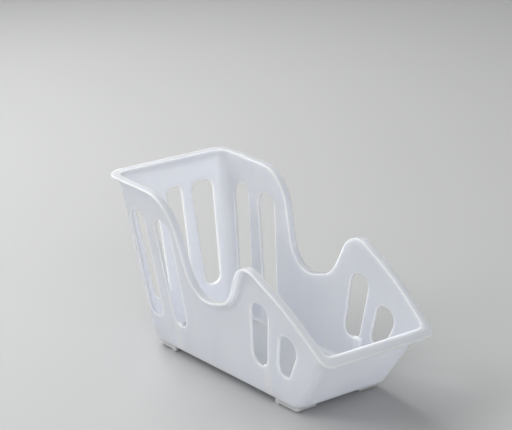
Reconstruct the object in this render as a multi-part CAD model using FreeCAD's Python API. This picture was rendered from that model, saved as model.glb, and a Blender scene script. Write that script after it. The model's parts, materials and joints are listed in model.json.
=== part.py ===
# Pot lid rack: a one-piece moulded tub, high at the back end, with a round
# notch across both sides and a rim that slopes down to the low front end.
# Millimetres, +Z up, +X towards the low end, +Y to the left side.
# The origin is the bottom centre of the bounding box.
import FreeCAD, Part
import math
import os

os.makedirs("parts", exist_ok=True)
V = FreeCAD.Vector

# Base. Length and width are where the walls would meet the plane through z = 0,
# which lies a little below the underside of the floor
base_length = 187.6
base_width = 78.6
underside = 2.5
wall = 2.0
floor_thickness = 2.0

# Slopes of the walls, as sideways travel for each millimetre of height
side_draft = 0.088
tall_lean = 0.172
low_lean = 0.79

# Rounded upright corners and the bevels round the bottom
tall_corner = 12.5
low_corner = 7.6
bottom_bevel = 1.2
inside_bevel = 1.6

# Rim lip, which stands out from the walls all the way round
lip_width = 4.4
lip_width_low = 7.0
lip_tall_corner = 15.0
lip_low_corner = 7.6
lip_thickness = 2.0
lip_gusset = 1.8
lip_edge = 0.6

# Side profile: straight runs between rounded turns. Slopes are rise over run,
# and distances along X are from the middle of the base.
rim_height = 129.6
rim_fall = 0.035
shoulder_x = -36.0
shoulder_radius = 36.0
notch_fall = 3.47
notch_floor = 58.4
notch_floor_x = 4.0
notch_floor_rise = 0.25
notch_back_radius = 25.0
notch_front_radius = 25.0
notch_climb = 1.92
notch_climb_x = 29.4
peak_radius = 18.0
peak_slope = 0.50
knee_reach = 36.1
knee_radius = 200.0
low_end_height = 52.2
low_end_slope = 0.74

# Slots in the side walls: the middle of the foot from the nearest end of the
# base, the lean of the head towards that end, the widths, and where it stops
slot_bottom = 24.0
slot_round = 8.4
slot_one_place = 17.3
slot_one_lean = 11.2
slot_one_foot = 18.0
slot_one_head = 19.5
slot_one_below_rim = 22.6
slot_two_place = 49.7
slot_two_lean = 10.4
slot_two_foot = 17.8
slot_two_head = 21.5
slot_two_below_rim = 23.8
slot_three_place = 39.0
slot_three_lean = 8.5
slot_three_foot = 18.5
slot_three_head = 21.5
slot_three_top = 72.3
slot_four_place = 11.5
slot_four_lean = 13.0
slot_four_foot = 14.5
slot_four_head = 23.5
slot_four_top = 58.0
slot_four_drop = 5.0
slot_four_foot_round = 7.0
slot_four_head_round = 9.0

# Slots in the tall end wall
end_slot_bottom = 28.0
end_slot_below_rim = 21.1
end_slot_middle_foot = 9.2
end_slot_middle_head = 14.4
end_slot_middle_round = 4.5
end_slot_side_place = 16.0
end_slot_side_foot = 14.5
end_slot_side_head = 20.5
end_slot_side_round = 7.0

# Feet: an L-shaped skirt under each corner, all four cut from one rounded
# oblong ring, with a deeper pad where the skirt ends on the long side. Insets
# and the skirt's two reaches are taken from the ends and sides of the base
skirt_tall_inset = 7.8
skirt_low_inset = 4.4
skirt_side_inset = 3.2
skirt_corner = 2.5
skirt_wall = 2.2
skirt_drop = 4.6
skirt_length = 29.5
skirt_across = 20.1
pad_length = 3.8
pad_depth = 3.4
pad_drop = 1.5

# Low upright stacking ribs inside the side walls
rib_width = 8.0
rib_proud = 1.2
rib_top = 24.5
rib_tall_place = 43.8
rib_low_place = 30.8

# Room for cutting tools past the part
reach = 400.0
spare_height = 16.0


def side_view(p):
    # an outline drawn in x and z, standing on the middle plane
    return V(p.x, 0, p.y)


def end_view(p):
    # an outline drawn in y and z
    return V(0, p.x, p.y)


def rounded_wire(points, radii, place):
    # closed outline with an arc at each corner that has a radius
    count = len(points)
    corners = [V(x, y, 0) for x, y in points]
    entries = []
    middles = []
    exits = []
    for i in range(count):
        corner = corners[i]
        back = (corners[i - 1] - corner).normalize()
        ahead = (corners[(i + 1) % count] - corner).normalize()
        half = back.getAngle(ahead) / 2
        if radii[i] <= 0:
            entries.append(corner)
            middles.append(None)
            exits.append(corner)
            continue
        cut = radii[i] / math.tan(half)
        inward = (back + ahead).normalize()
        depth = radii[i] / math.sin(half) - radii[i]
        entries.append(corner + back * cut)
        middles.append(corner + inward * depth)
        exits.append(corner + ahead * cut)
    edges = []
    for i in range(count):
        if middles[i] is not None:
            arc = Part.Arc(place(entries[i]), place(middles[i]), place(exits[i]))
            edges.append(arc.toShape())
        following = entries[(i + 1) % count]
        if exits[i].distanceToPoint(following) > 1e-6:
            edges.append(Part.makeLine(place(exits[i]), place(following)))
    return Part.Wire(edges)


def tall_x(z, out):
    return -base_length / 2 - tall_lean * z - out * math.hypot(1, tall_lean)


def low_x(z, out):
    return base_length / 2 + low_lean * z + out * math.hypot(1, low_lean)


def half_width(z, out):
    return base_width / 2 + side_draft * z + out * math.hypot(1, side_draft)


def plan_corners(z, out, out_low):
    # the sharp corners of the tub at one height, grown outwards by "out"
    xa = tall_x(z, out)
    xb = low_x(z, out_low)
    y = half_width(z, out)
    return [V(xa, -y, z), V(xb, -y, z), V(xb, y, z), V(xa, y, z)]


def plane_face(points):
    return Part.Face(Part.makePolygon(points + [points[0]]))


def tub_solid(z_low, out, out_low, tall_radius, low_radius, bevel):
    # leaning tub with rounded upright corners and a bevelled bottom
    z_high = rim_height + spare_height
    low = plan_corners(z_low, out, out_low)
    high = plan_corners(z_high, out, out_low)
    faces = [plane_face(low[::-1]), plane_face(high)]
    for i in range(4):
        j = (i + 1) % 4
        faces.append(plane_face([low[i], low[j], high[j], high[i]]))
    solid = Part.makeSolid(Part.makeShell(faces))
    for end, radius in ((-1, tall_radius), (1, low_radius)):
        uprights = [
            edge
            for edge in solid.Edges
            if edge.BoundBox.ZLength > rim_height / 2 and edge.CenterOfMass.x * end > 0
        ]
        solid = solid.makeFillet(radius, uprights)
    if bevel > 0:
        lowest = [edge for edge in solid.Edges if edge.CenterOfMass.z < z_low + 1e-4]
        solid = solid.makeChamfer(bevel, lowest)
    return solid


def meet(a, b):
    # crossing point of two lines, each an x, a z and a slope
    x = (b[1] - a[1] + a[2] * a[0] - b[2] * b[0]) / (a[2] - b[2])
    return (x, a[1] + a[2] * (x - a[0]))


def moved(line, depth):
    # the same line moved square to itself, downwards for a positive depth
    return (line[0], line[1] - depth * math.hypot(1, line[2]), line[2])


def rim_lines():
    # the straight runs of the side profile, from the tall end to the low end
    top = (tall_x(rim_height, 0), rim_height, -rim_fall)
    shoulder_z = top[1] - rim_fall * (shoulder_x - top[0])
    fall = (shoulder_x, shoulder_z, -notch_fall)
    dip = notch_back_radius * (math.hypot(1, notch_floor_rise) - 1)
    ground = (notch_floor_x, notch_floor - dip, notch_floor_rise)
    climb_z = ground[1] + notch_floor_rise * (notch_climb_x - notch_floor_x)
    climb = (notch_climb_x, climb_z, notch_climb)
    end_x = low_x(low_end_height, 0)
    last = (end_x, low_end_height, -low_end_slope)
    knee_z = low_end_height + low_end_slope * knee_reach
    slope = (end_x - knee_reach, knee_z, -peak_slope)
    return [top, fall, ground, climb, slope, last]


def rim_outline(depth):
    # corners and radii of the side profile, sunk into the wall by "depth"
    lines = [moved(line, depth) for line in rim_lines()]
    corners = [meet(a, b) for a, b in zip(lines, lines[1:])]
    first, last = lines[0], lines[-1]
    left = (-reach, first[1] + first[2] * (-reach - first[0]))
    right = (reach, last[1] + last[2] * (reach - last[0]))
    radii = [
        shoulder_radius - depth,
        notch_back_radius + depth,
        notch_front_radius + depth,
        peak_radius - depth,
        knee_radius - depth,
    ]
    return [left] + corners + [right], [0] + radii + [0]


def across(wire):
    # solid bar with the given side view, right across the rack
    face = Part.Face(wire)
    face.translate(V(0, -reach, 0))
    return face.extrude(V(0, 2 * reach, 0))


def under_rim():
    points, radii = rim_outline(0)
    points = points + [(reach, -2 * reach), (-reach, -2 * reach)]
    return across(rounded_wire(points, radii + [0, 0], side_view))


def rim_band():
    upper, upper_radii = rim_outline(0)
    lower, lower_radii = rim_outline(lip_thickness)
    points = upper + lower[::-1]
    return across(rounded_wire(points, upper_radii + lower_radii[::-1], side_view))


def face_normals(solid, edge, point):
    normals = []
    for face in solid.ancestorsOfType(edge, Part.Face):
        u, v = face.Surface.parameter(point)
        normals.append(face.normalAt(u, v))
    return normals


def lip_edges(solid):
    # edges under the lip, where it meets the wall, and edges round its rim
    under = []
    rims = []
    step = 0.05
    turn = math.radians(20)
    for edge in solid.Edges:
        halfway = (edge.FirstParameter + edge.LastParameter) / 2
        point = edge.valueAt(halfway)
        normals = face_normals(solid, edge, point)
        if point.z < slot_bottom or normals[0].getAngle(normals[1]) < turn:
            continue
        side = normals[0].cross(edge.tangentAt(halfway)).normalize() * step
        above = point + normals[0] * (step / 5)
        hollow = [solid.isInside(above + s, 1e-6, False) for s in (side, side * -1)]
        beside = abs(point.y) > half_width(point.z, lip_width / 2)
        behind = point.x < tall_x(point.z, lip_width / 2)
        ahead = point.x > low_x(point.z, lip_width_low / 2)
        if any(hollow):
            under.append(edge)
        elif beside or behind or ahead:
            rims.append(edge)
    return under, rims


def side_slot(end, place, lean, foot, head, top, radii, drop=0):
    # "end" is -1 for the tall end and +1 for the low end
    foot_x = end * (base_length / 2 - place)
    head_x = foot_x + end * lean
    points = [
        (foot_x - end * foot / 2, slot_bottom),
        (foot_x + end * foot / 2, slot_bottom),
        (head_x + end * head / 2, top - drop),
        (head_x - end * head / 2, top),
    ]
    return across(rounded_wire(points, radii, side_view))


def side_slots():
    even = [slot_round] * 4
    pear = [slot_four_foot_round] * 2 + [slot_four_head_round] * 2
    one_top = rim_height - slot_one_below_rim
    two_top = rim_height - slot_two_below_rim
    return [
        side_slot(-1, slot_one_place, slot_one_lean, slot_one_foot, slot_one_head, one_top, even),
        side_slot(-1, slot_two_place, slot_two_lean, slot_two_foot, slot_two_head, two_top, even),
        side_slot(
            1, slot_three_place, slot_three_lean, slot_three_foot, slot_three_head, slot_three_top, even
        ),
        side_slot(
            1,
            slot_four_place,
            slot_four_lean,
            slot_four_foot,
            slot_four_head,
            slot_four_top,
            pear,
            slot_four_drop,
        ),
    ]


def end_slot(y_foot_in, y_foot_out, y_head_in, y_head_out, radius):
    top = rim_height - end_slot_below_rim
    points = [
        (y_foot_in, end_slot_bottom),
        (y_foot_out, end_slot_bottom),
        (y_head_out, top),
        (y_head_in, top),
    ]
    face = Part.Face(rounded_wire(points, [radius] * 4, end_view))
    return face.extrude(V(-reach, 0, 0))


def end_slots():
    foot = end_slot_middle_foot / 2
    head = end_slot_middle_head / 2
    cutters = [end_slot(-foot, foot, -head, head, end_slot_middle_round)]
    place = end_slot_side_place
    foot = place + end_slot_side_foot
    head = place + end_slot_side_head
    cutters.append(end_slot(place, foot, place, head, end_slot_side_round))
    cutters.append(end_slot(-place, -foot, -place, -head, end_slot_side_round))
    return cutters


def block(x_span, y_span, z_span):
    x0, x1 = sorted(x_span)
    y0, y1 = sorted(y_span)
    z0, z1 = sorted(z_span)
    return Part.makeBox(x1 - x0, y1 - y0, z1 - z0, V(x0, y0, z0))


def skirt_wire(z, depth, radius):
    xa = skirt_tall_inset - base_length / 2 + depth
    xb = base_length / 2 - skirt_low_inset - depth
    y = base_width / 2 - skirt_side_inset - depth
    points = [(xa, -y), (xb, -y), (xb, y), (xa, y)]
    return rounded_wire(points, [radius] * 4, lambda p: V(p.x, p.y, z))


def feet():
    bottom = underside - skirt_drop
    top = underside + floor_thickness / 2
    outside = Part.Face(skirt_wire(bottom, 0, skirt_corner))
    ring = outside.cut(Part.Face(skirt_wire(bottom, skirt_wall, 0)))
    ring = ring.extrude(V(0, 0, top - bottom))
    tall_stop = skirt_length - base_length / 2
    low_stop = base_length / 2 - skirt_length
    shapes = []
    for side in (-1, 1):
        face = side * (base_width / 2 - skirt_side_inset)
        stop = side * (base_width / 2 - skirt_across)
        for span in ((-reach, tall_stop), (low_stop, reach)):
            shapes.append(ring.common(block(span, (stop, side * reach), (bottom, top))))
        for span in ((tall_stop - pad_length, tall_stop), (low_stop, low_stop + pad_length)):
            shapes.append(block(span, (face - side * pad_depth, face), (bottom - pad_drop, top)))
    return shapes


def ribs():
    # ribs that lean with the side walls and stand on the floor
    z_low = underside + floor_thickness / 2
    shapes = []
    for x in (rib_tall_place - base_length / 2, base_length / 2 - rib_low_place):
        for side in (-1, 1):
            points = []
            for z, out in (
                (z_low, -wall - rib_proud),
                (rib_top, -wall - rib_proud),
                (rib_top + rib_proud, -wall),
                (rib_top + rib_proud, -wall / 2),
                (z_low, -wall / 2),
            ):
                points.append(V(x - rib_width / 2, side * half_width(z, out), z))
            shapes.append(plane_face(points).extrude(V(rib_width, 0, 0)))
    return shapes


# Solid tub under the rim profile, with the lip round it
outer = tub_solid(underside, 0, 0, tall_corner, low_corner, bottom_bevel)
envelope = tub_solid(underside, lip_width, lip_width_low, lip_tall_corner, lip_low_corner, 0)
lip = envelope.common(rim_band())
body = outer.common(under_rim()).fuse(lip).removeSplitter().Solids[0]
under, rims = lip_edges(body)
body = body.makeChamfer(lip_gusset, under)
under, rims = lip_edges(body)
body = body.makeChamfer(lip_edge, rims)

# Hollow it out and cut the slots
inner_floor = underside + floor_thickness
inner = tub_solid(inner_floor, -wall, -wall, tall_corner - wall, low_corner - wall, inside_bevel)
body = body.cut([inner] + side_slots() + end_slots())

# Feet and stacking ribs
body = body.fuse(ribs() + feet()).removeSplitter()

# Bring the bottom centre of the whole rack to the origin
tall_plane = (tall_x(0, lip_width), 0, -1 / tall_lean)
low_plane = (low_x(0, lip_width_low), 0, 1 / low_lean)
tall_end = meet(rim_lines()[0], tall_plane)[0]
low_end = meet(rim_lines()[-1], low_plane)[0]
lift = skirt_drop + pad_drop - underside
body.translate(V(-(tall_end + low_end) / 2, 0, lift))

body.Solids[0].exportStep("parts/rack_body.step")
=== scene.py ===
"""A frosted, translucent pot lid rack on a plain pale floor.

The rack's form comes from the frame. This script eases its edges, gives it a
moulded plastic finish, and sets the floor, lamps and camera. Metres, +Z up.
"""
import json
import math

import bpy
from mathutils import Matrix, Vector

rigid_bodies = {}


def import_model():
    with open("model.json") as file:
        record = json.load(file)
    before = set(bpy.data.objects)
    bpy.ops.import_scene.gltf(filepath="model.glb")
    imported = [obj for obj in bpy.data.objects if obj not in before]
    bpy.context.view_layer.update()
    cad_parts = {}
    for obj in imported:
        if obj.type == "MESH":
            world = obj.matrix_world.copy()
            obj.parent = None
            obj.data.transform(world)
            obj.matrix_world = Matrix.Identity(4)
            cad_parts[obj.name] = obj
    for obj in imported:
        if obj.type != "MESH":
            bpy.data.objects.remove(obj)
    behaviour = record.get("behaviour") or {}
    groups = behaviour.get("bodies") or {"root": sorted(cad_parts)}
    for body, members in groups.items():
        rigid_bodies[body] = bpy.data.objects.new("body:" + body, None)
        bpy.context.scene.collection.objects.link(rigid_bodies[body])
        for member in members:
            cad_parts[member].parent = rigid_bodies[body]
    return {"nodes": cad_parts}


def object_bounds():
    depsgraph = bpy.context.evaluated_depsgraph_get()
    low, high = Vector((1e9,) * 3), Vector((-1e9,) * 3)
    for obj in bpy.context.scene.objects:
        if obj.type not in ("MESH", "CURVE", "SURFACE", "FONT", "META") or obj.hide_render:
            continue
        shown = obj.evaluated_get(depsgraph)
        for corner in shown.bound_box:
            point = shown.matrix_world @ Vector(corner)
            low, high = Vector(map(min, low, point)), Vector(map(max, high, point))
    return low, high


NODE = "rack_body"

# Edges: corners sharper than the limit get a small round
EDGE_ROUND = 0.00035
EDGE_STEPS = 2
EDGE_ANGLE = 30.0
FLAT_ANGLE = 0.6
WELD_GAP = 0.000002
LARGE_FACE_WEIGHT = 100

# The mix node's sockets for colours
MIX_COLOUR_A = 6
MIX_COLOUR_B = 7
MIX_COLOUR_OUT = 2

# Frosted plastic. Noise scales are in features per metre, and stretch is per axis
MILK = (0.86, 0.90, 1.0)
MILK_THIN = (0.785, 0.835, 0.985)
# Painted light: near-white colour painted on the edges, the feet and over the ribs
PAINTED_LIGHT_MILK = (0.99, 0.995, 1.0)
GLOW_RADIUS = (1.0, 1.0, 1.08)
GLOW_SCALE = 0.010
GLOW_FORWARD = 0.8
GLOW_WEIGHT = 1.0
GLOW_IOR = 1.49
CLEAR_WEIGHT = 0.30
# Painted highlight along edges
PAINTED_HIGHLIGHT_REACH = 0.003
PAINTED_HIGHLIGHT_LIMIT = 0.88
PAINTED_HIGHLIGHT_SAMPLES = 6
GLOSS_COAT = 0.3
GLOSS_COAT_ROUGHNESS = 0.16
ROUGHNESS = (0.32, 0.40)
CLOUD_SCALE = 14
CLOUD_STRETCH = (1.0, 1.0, 0.45)
STREAK_SCALE = 70
STREAK_STRETCH = (1.0, 1.0, 0.1)
STREAK_SHARE = 0.5
TINT_RANGE = (0.55, 0.95)
SMUDGE_SCALE = 55
SMUDGE_RANGE = (0.3, 0.7)
GRAIN_SCALE = 2600
GRAIN_STRENGTH = 0.05
GRAIN_HEIGHT = 0.0001
WAVE_SCALE = 32
WAVE_STRETCH = (1.0, 1.0, 0.5)
WAVE_STRENGTH = 0.06
WAVE_HEIGHT = 0.0006

# Painted light: the plastic is painted lighter where an upright rib stands behind the side wall,
# and on the feet
RIB_CENTRES = (-0.060, 0.053)
RIB_HALF_WIDTH = 0.004
RIB_TOP = 0.029
RIB_FOOT_REACH = 0.034
RIB_PAINTED_LIGHT = 0.5
FOOT_TOP = 0.0036
MASK_BLUR = 0.0012

# Floor, which bends up into the backdrop
FLOOR_COLOUR = (0.44, 0.434, 0.421)
FLOOR_LIGHTER = 1.03
FLOOR_PATCH_SCALE = 3
FLOOR_ROUGHNESS = 0.7
FLOOR_HALF = 3.5
FLOOR_BACK = 2.4
BEND_RADIUS = 0.7
BEND_STEPS = 16

# Lamps, each aimed at the rack. Azimuth 0 stands in front and 90 on the +X side
LAMPS = {
    "key_lamp": {
        "azimuth": -36, "elevation": 38, "distance": 1.7, "width": 1.2, "height": 1.0,
        "power": 14.8, "colour": (0.985, 0.99, 1.0), "spread": 180,
    },
    "back_lamp": {
        "azimuth": -95, "elevation": 36, "distance": 2.2, "width": 1.4, "height": 1.1,
        "power": 15.5, "colour": (0.96, 0.98, 1.0), "spread": 110,
    },
    "side_lamp": {
        "azimuth": 75, "elevation": 24, "distance": 2.0, "width": 1.3, "height": 1.1,
        "power": 12.2, "colour": (0.95, 0.975, 1.0), "spread": 180,
    },
}
WORLD_COLOUR = (0.93, 0.96, 1.0)
WORLD_STRENGTH = 0.45

# Camera, at the photograph's angle
CAMERA_AZIMUTH = 55.37
CAMERA_ELEVATION = 17.58
CAMERA_ROLL = -2.668
CAMERA_DISTANCE = 1.3509
CAMERA_AIM = (-0.0369, 0.0178, 0.1053)
CAMERA_LENS = 128.84
SENSOR_WIDTH = 36.0


def clear_scene():
    for thing in list(bpy.data.objects):
        bpy.data.objects.remove(thing)


def link(tree, source, target):
    tree.links.new(source, target)


def place(tree, kind, **values):
    """A new node with the given properties set."""
    node = tree.nodes.new(kind)
    for name, value in values.items():
        setattr(node, name, value)
    return node


def noise(tree, coordinates, scale, detail, roughness=0.5, stretch=None):
    """Noise in object space. The scale is in features per metre."""
    node = place(tree, "ShaderNodeTexNoise")
    node.inputs["Scale"].default_value = scale
    node.inputs["Detail"].default_value = detail
    node.inputs["Roughness"].default_value = roughness
    source = coordinates
    if stretch is not None:
        mapping = place(tree, "ShaderNodeMapping")
        mapping.inputs["Scale"].default_value = stretch
        link(tree, coordinates, mapping.inputs["Vector"])
        source = mapping.outputs["Vector"]
    link(tree, source, node.inputs["Vector"])
    return node.outputs["Fac"]


def remap(tree, value, from_low, from_high, to_low, to_high):
    node = place(tree, "ShaderNodeMapRange")
    limits = ("From Min", "From Max", "To Min", "To Max")
    for name, limit in zip(limits, (from_low, from_high, to_low, to_high)):
        node.inputs[name].default_value = limit
    link(tree, value, node.inputs["Value"])
    return node.outputs["Result"]


def blend_colours(tree, factor, colour_a, colour_b):
    """Mix of two colours, each a value or a socket."""
    node = place(tree, "ShaderNodeMix", data_type="RGBA")
    link(tree, factor, node.inputs["Factor"])
    for number, colour in ((MIX_COLOUR_A, colour_a), (MIX_COLOUR_B, colour_b)):
        socket = node.inputs[number]
        if isinstance(colour, tuple):
            socket.default_value = (*colour, 1)
        else:
            link(tree, colour, socket)
    return node.outputs[MIX_COLOUR_OUT]


def new_material(name):
    material = bpy.data.materials.new(name)
    material.use_nodes = True
    tree = material.node_tree
    tree.nodes.clear()
    output = place(tree, "ShaderNodeOutputMaterial")
    shader = place(tree, "ShaderNodeBsdfPrincipled")
    link(tree, shader.outputs["BSDF"], output.inputs["Surface"])
    return material, tree, shader


def painted_edge_highlight_mask(tree, reach):
    """1 along edges and 0 on open faces, from how far the rounded normal turns; it places a
    painted highlight.
    """
    rounded = place(tree, "ShaderNodeBevel", samples=PAINTED_HIGHLIGHT_SAMPLES)
    rounded.inputs["Radius"].default_value = reach
    geometry = place(tree, "ShaderNodeNewGeometry")
    turn = place(tree, "ShaderNodeVectorMath", operation="DOT_PRODUCT")
    link(tree, rounded.outputs["Normal"], turn.inputs[0])
    link(tree, geometry.outputs["Normal"], turn.inputs[1])
    return remap(tree, turn.outputs["Value"], 1.0, PAINTED_HIGHLIGHT_LIMIT, 0.0, 1.0)


def bump(tree, height, strength, distance, under=None):
    """Bumped normal from a height, laid over another one where that is given."""
    node = place(tree, "ShaderNodeBump")
    node.inputs["Strength"].default_value = strength
    node.inputs["Distance"].default_value = distance
    link(tree, height, node.inputs["Height"])
    if under is not None:
        link(tree, under, node.inputs["Normal"])
    return node.outputs["Normal"]


def calculate(tree, operation, value, other=0.0):
    """Maths on a socket and a number or a second socket."""
    node = place(tree, "ShaderNodeMath", operation=operation)
    link(tree, value, node.inputs[0])
    if isinstance(other, float):
        node.inputs[1].default_value = other
    else:
        link(tree, other, node.inputs[1])
    return node.outputs[0]


def painted_rib_light_mask(tree, where):
    """Painted light: bands over the ribs on both side walls, up to the tops of the ribs."""
    split = place(tree, "ShaderNodeSeparateXYZ")
    link(tree, where, split.inputs[0])
    inner = RIB_HALF_WIDTH - MASK_BLUR
    outer = RIB_HALF_WIDTH + MASK_BLUR
    bands = None
    for centre in RIB_CENTRES:
        away = calculate(tree, "ABSOLUTE", calculate(tree, "SUBTRACT", split.outputs["X"], centre))
        band = remap(tree, away, outer, inner, 0.0, RIB_PAINTED_LIGHT)
        bands = band if bands is None else calculate(tree, "MAXIMUM", bands, band)
    low = remap(tree, split.outputs["Z"], RIB_TOP + MASK_BLUR, RIB_TOP - MASK_BLUR, 0.0, 1.0)
    aside = calculate(tree, "ABSOLUTE", split.outputs["Y"])
    wall = remap(tree, aside, RIB_FOOT_REACH, RIB_FOOT_REACH + MASK_BLUR, 0.0, 1.0)
    return calculate(tree, "MULTIPLY", calculate(tree, "MULTIPLY", bands, low), wall)


def painted_foot_light_mask(tree, where):
    """Painted light: 1 on the feet, below the underside of the tub."""
    split = place(tree, "ShaderNodeSeparateXYZ")
    link(tree, where, split.inputs[0])
    return remap(tree, split.outputs["Z"], FOOT_TOP + MASK_BLUR, FOOT_TOP - MASK_BLUR, 0.0, 1.0)


def frosted_plastic():
    """Milky polypropylene: cloudy tint, painted highlight along edges and painted light over the
    ribs and on the feet, fine frosted grain.
    """
    material, tree, shader = new_material("frosted_plastic_look")
    where = place(tree, "ShaderNodeTexCoord").outputs["Object"]
    cloud = noise(tree, where, CLOUD_SCALE, detail=3, stretch=CLOUD_STRETCH)
    streaks = noise(tree, where, STREAK_SCALE, detail=2, stretch=STREAK_STRETCH)
    both = calculate(tree, "ADD", cloud, calculate(tree, "MULTIPLY", streaks, STREAK_SHARE))
    tint = remap(tree, both, *TINT_RANGE, 0.0, 1.0)
    milk_and_painted_light = blend_colours(tree, tint, MILK_THIN, MILK)
    # Painted light over the ribs behind the side walls
    milk_and_painted_light = blend_colours(tree, painted_rib_light_mask(tree, where), milk_and_painted_light, PAINTED_LIGHT_MILK)
    # Painted highlight along the edges and painted light on the feet
    edges = calculate(tree, "MAXIMUM", painted_edge_highlight_mask(tree, PAINTED_HIGHLIGHT_REACH), painted_foot_light_mask(tree, where))
    colour = blend_colours(tree, edges, milk_and_painted_light, PAINTED_LIGHT_MILK)
    link(tree, colour, shader.inputs["Base Color"])
    smudge = noise(tree, where, SMUDGE_SCALE, detail=4, roughness=0.6)
    roughness = remap(tree, smudge, *SMUDGE_RANGE, *ROUGHNESS)
    link(tree, roughness, shader.inputs["Roughness"])
    waves = noise(tree, where, WAVE_SCALE, detail=1, roughness=0.4, stretch=WAVE_STRETCH)
    grain = noise(tree, where, GRAIN_SCALE, detail=2)
    broad = bump(tree, waves, WAVE_STRENGTH, WAVE_HEIGHT)
    fine = bump(tree, grain, GRAIN_STRENGTH, GRAIN_HEIGHT, broad)
    link(tree, fine, shader.inputs["Normal"])
    shader.inputs["IOR"].default_value = GLOW_IOR
    shader.inputs["Subsurface Weight"].default_value = GLOW_WEIGHT
    shader.inputs["Subsurface Radius"].default_value = GLOW_RADIUS
    shader.inputs["Subsurface Scale"].default_value = GLOW_SCALE
    shader.inputs["Subsurface Anisotropy"].default_value = GLOW_FORWARD
    # Less clear where the painted highlight and the painted foot light lie
    clearness = remap(tree, edges, 0.0, 1.0, CLEAR_WEIGHT, 0.0)
    link(tree, clearness, shader.inputs["Transmission Weight"])
    shader.inputs["Coat Weight"].default_value = GLOSS_COAT
    shader.inputs["Coat Roughness"].default_value = GLOSS_COAT_ROUGHNESS
    return material


def floor_paint():
    material, tree, shader = new_material("pale_floor")
    where = place(tree, "ShaderNodeTexCoord").outputs["Object"]
    patch = noise(tree, where, FLOOR_PATCH_SCALE, detail=2)
    lighter = tuple(FLOOR_LIGHTER * channel for channel in FLOOR_COLOUR)
    link(tree, blend_colours(tree, patch, FLOOR_COLOUR, lighter), shader.inputs["Base Color"])
    shader.inputs["Roughness"].default_value = FLOOR_ROUGHNESS
    return material


def cleaning_group():
    """Joins the split corners of the frame's mesh and makes it shade smoothly."""
    group = bpy.data.node_groups.new("joined_mesh", "GeometryNodeTree")
    group.interface.new_socket("Geometry", in_out="INPUT", socket_type="NodeSocketGeometry")
    group.interface.new_socket("Geometry", in_out="OUTPUT", socket_type="NodeSocketGeometry")
    start = place(group, "NodeGroupInput")
    end = place(group, "NodeGroupOutput")
    plain = place(group, "GeometryNodeRemoveAttribute")
    plain.inputs["Name"].default_value = "custom_normal"
    weld = place(group, "GeometryNodeMergeByDistance")
    weld.inputs["Distance"].default_value = WELD_GAP
    smooth = place(group, "GeometryNodeSetShadeSmooth")
    link(group, start.outputs[0], plain.inputs["Geometry"])
    link(group, plain.outputs["Geometry"], weld.inputs["Geometry"])
    link(group, weld.outputs["Geometry"], smooth.inputs["Geometry"])
    link(group, smooth.outputs["Geometry"], end.inputs[0])
    return group


def ease_edges(rack):
    clean = rack.modifiers.new("joined", "NODES")
    clean.node_group = cleaning_group()
    flat = rack.modifiers.new("flat_faces", "DECIMATE")
    flat.decimate_type = "DISSOLVE"
    flat.angle_limit = math.radians(FLAT_ANGLE)
    bevel = rack.modifiers.new("eased_edges", "BEVEL")
    bevel.width = EDGE_ROUND
    bevel.segments = EDGE_STEPS
    bevel.limit_method = "ANGLE"
    bevel.angle_limit = math.radians(EDGE_ANGLE)
    bevel.miter_outer = "MITER_ARC"
    bevel.use_clamp_overlap = True
    normals = rack.modifiers.new("face_normals", "WEIGHTED_NORMAL")
    normals.mode = "FACE_AREA"
    normals.weight = LARGE_FACE_WEIGHT
    normals.keep_sharp = False


def floor_and_backdrop():
    """One sheet that runs back from the floor and bends up behind the rack."""
    profile = [(-FLOOR_HALF, 0.0)]
    for i in range(BEND_STEPS + 1):
        turn = math.pi / 2 * i / BEND_STEPS
        along = FLOOR_BACK + BEND_RADIUS * math.sin(turn)
        profile.append((along, BEND_RADIUS * (1 - math.cos(turn))))
    profile.append((FLOOR_BACK + BEND_RADIUS, FLOOR_HALF))
    turn = math.radians(CAMERA_AZIMUTH)
    ahead = Vector((-math.sin(turn), math.cos(turn), 0))
    side = Vector((math.cos(turn), math.sin(turn), 0))
    corners = []
    for along, height in profile:
        for across in (-FLOOR_HALF, FLOOR_HALF):
            corners.append(ahead * along + side * across + Vector((0, 0, height)))
    faces = [(2 * i, 2 * i + 1, 2 * i + 3, 2 * i + 2) for i in range(len(profile) - 1)]
    mesh = bpy.data.meshes.new("floor")
    mesh.from_pydata(corners, [], faces)
    mesh.shade_smooth()
    floor = bpy.data.objects.new("floor", mesh)
    floor.data.materials.append(floor_paint())
    bpy.context.scene.collection.objects.link(floor)


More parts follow.
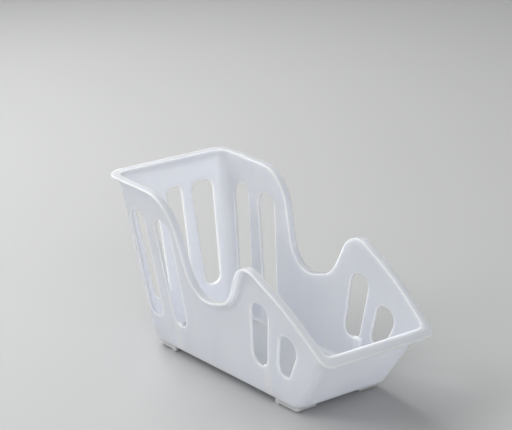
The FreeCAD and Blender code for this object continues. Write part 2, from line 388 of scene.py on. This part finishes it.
def direction_to(azimuth, elevation):
    """Unit vector from the rack towards a lamp or the camera."""
    turn, rise = math.radians(azimuth), math.radians(elevation)
    level = math.cos(rise)
    return Vector((math.sin(turn) * level, -math.cos(turn) * level, math.sin(rise)))


def soft_lamp(name, values, aim):
    """Area lamp that faces the rack."""
    back = direction_to(values["azimuth"], values["elevation"])
    data = bpy.data.lights.new(name, "AREA")
    data.shape = "RECTANGLE"
    data.size = values["width"]
    data.size_y = values["height"]
    data.energy = values["power"]
    data.color = values["colour"]
    data.spread = math.radians(values["spread"])
    lamp = bpy.data.objects.new(name, data)
    lamp.location = aim + back * values["distance"]
    lamp.rotation_mode = "QUATERNION"
    lamp.rotation_quaternion = back.to_track_quat("Z", "Y")
    bpy.context.scene.collection.objects.link(lamp)


def world_light():
    world = bpy.data.worlds.new("studio")
    world.use_nodes = True
    background = world.node_tree.nodes["Background"]
    background.inputs["Color"].default_value = (*WORLD_COLOUR, 1)
    background.inputs["Strength"].default_value = WORLD_STRENGTH
    bpy.context.scene.world = world


def camera():
    turn, roll = math.radians(CAMERA_AZIMUTH), math.radians(CAMERA_ROLL)
    back = direction_to(CAMERA_AZIMUTH, CAMERA_ELEVATION)
    level = Vector((math.cos(turn), math.sin(turn), 0))
    upright = back.cross(level)
    right = level * math.cos(roll) + upright * math.sin(roll)
    up = upright * math.cos(roll) - level * math.sin(roll)
    data = bpy.data.cameras.new("camera")
    data.sensor_width = SENSOR_WIDTH
    data.lens = CAMERA_LENS
    shot = bpy.data.objects.new("camera", data)
    axes = Matrix((right, up, back)).transposed().to_4x4()
    shot.matrix_world = Matrix.Translation(Vector(CAMERA_AIM) + back * CAMERA_DISTANCE) @ axes
    bpy.context.scene.collection.objects.link(shot)
    bpy.context.scene.camera = shot


clear_scene()
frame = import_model()
cad_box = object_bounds()
rack = frame["nodes"][NODE]
rack.material_slots[0].material = frosted_plastic()
ease_edges(rack)
floor_and_backdrop()
centre = (cad_box[0] + cad_box[1]) / 2
for lamp_name, lamp_values in LAMPS.items():
    soft_lamp(lamp_name, lamp_values, centre)
world_light()
camera()
bpy.context.scene.view_settings.view_transform = "Standard"
